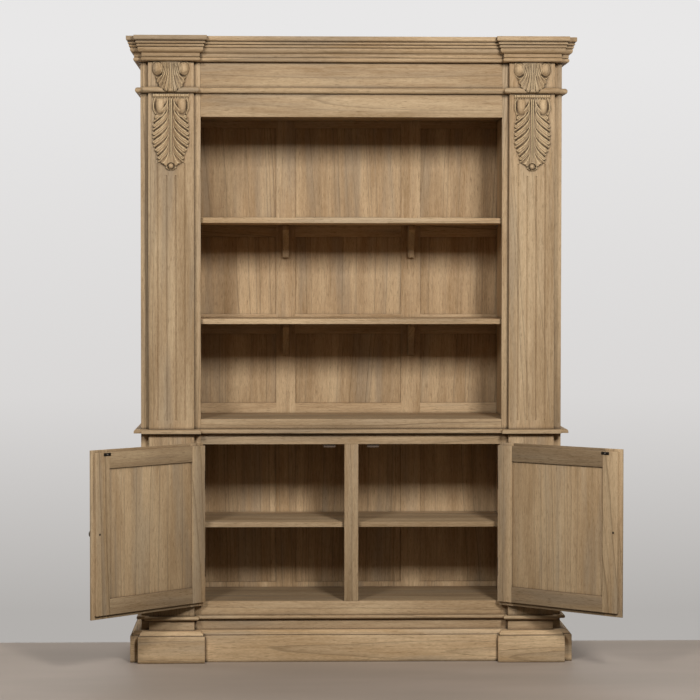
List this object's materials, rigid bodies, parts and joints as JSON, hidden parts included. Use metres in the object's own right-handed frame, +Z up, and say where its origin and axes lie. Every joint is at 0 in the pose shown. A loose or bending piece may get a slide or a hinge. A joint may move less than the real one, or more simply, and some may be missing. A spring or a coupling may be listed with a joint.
{
  "type": "breakfront bookcase cupboard",
  "caption": "Tall open bookcase with fluted pilasters and a moulded cornice on a two-door cupboard, in limed wood.",
  "frame": {"origin": "on the floor, at the middle of the carcass's width and depth, on the underside of the middle bearer", "axes": "+Z up, -Y out of the open front towards the user, +X to the right as seen from the front"},
  "size_m": [1.9861, 0.8686, 2.4],
  "materials": {
    "limed_wood": "limed, open grain, matt wax",
    "carved_wood": "limed carving with darker wax in the hollows",
    "dark_metal": "dark bronzed, satin",
    "steel": "plain, satin",
    "catch_plastic": "moulded, brown"
  },
  "bodies": {
    "cabinet": {"base_bearers": "limed_wood", "base_board": "limed_wood", "base_boards": "limed_wood", "bookcase_back_frame": "limed_wood", "bookcase_back_panels": "limed_wood", "bookcase_floor": "limed_wood", "bookcase_linings": "limed_wood", "bookcase_outer_sides": "limed_wood", "bookcase_shelves": "limed_wood", "bookcase_sill_rail": "limed_wood", "bookcase_stiles": "limed_wood", "bookcase_top_boards": "limed_wood", "bookcase_top_rail": "limed_wood", "cornice_blocks": "limed_wood", "cornice_front": "limed_wood", "cornice_sides": "limed_wood", "cupboard_back_frame": "limed_wood", "cupboard_back_panels": "limed_wood", "cupboard_bottom_rail": "limed_wood", "cupboard_divider": "limed_wood", "cupboard_floor": "limed_wood", "cupboard_linings": "limed_wood", "cupboard_middle_stile": "limed_wood", "cupboard_outer_sides": "limed_wood", "cupboard_pilasters": "limed_wood", "cupboard_shelves": "limed_wood", "cupboard_stiles": "limed_wood", "cupboard_top_rail": "limed_wood", "frame_hinge_leaves": "dark_metal", "frieze_bead": "limed_wood", "frieze_board": "limed_wood", "hinge_pins": "steel", "large_carvings": "carved_wood", "magnetic_catches": "catch_plastic", "pilasters": "limed_wood", "plinth_blocks": "limed_wood", "plinth_front": "limed_wood", "plinth_sides": "limed_wood", "shelf_brackets": "limed_wood", "shelf_pins": "steel", "small_carvings": "carved_wood", "waist_board": "limed_wood"},
    "left_door": {"left_door_bead": "limed_wood", "left_door_bottom_rail": "limed_wood", "left_door_free_stile": "limed_wood", "left_door_hinge_leaves": "dark_metal", "left_door_hinge_stile": "limed_wood", "left_door_knob": "dark_metal", "left_door_panel": "limed_wood", "left_door_strike": "steel", "left_door_top_rail": "limed_wood"},
    "right_door": {"right_door_bead": "limed_wood", "right_door_bottom_rail": "limed_wood", "right_door_free_stile": "limed_wood", "right_door_hinge_leaves": "dark_metal", "right_door_hinge_stile": "limed_wood", "right_door_knob": "dark_metal", "right_door_panel": "limed_wood", "right_door_strike": "steel", "right_door_top_rail": "limed_wood"}
  },
  "joints": [
    {"name": "left_door_hinge", "type": "hinge", "parent": "cabinet", "child": "left_door", "pos_m": [-0.579, -0.237, 0.5335], "axis": [0, 0, -1], "range_deg": [-135, 6.5]},
    {"name": "right_door_hinge", "type": "hinge", "parent": "cabinet", "child": "right_door", "pos_m": [0.579, -0.237, 0.5335], "axis": [0, 0, 1], "range_deg": [-138.5, 3]}
  ]
}
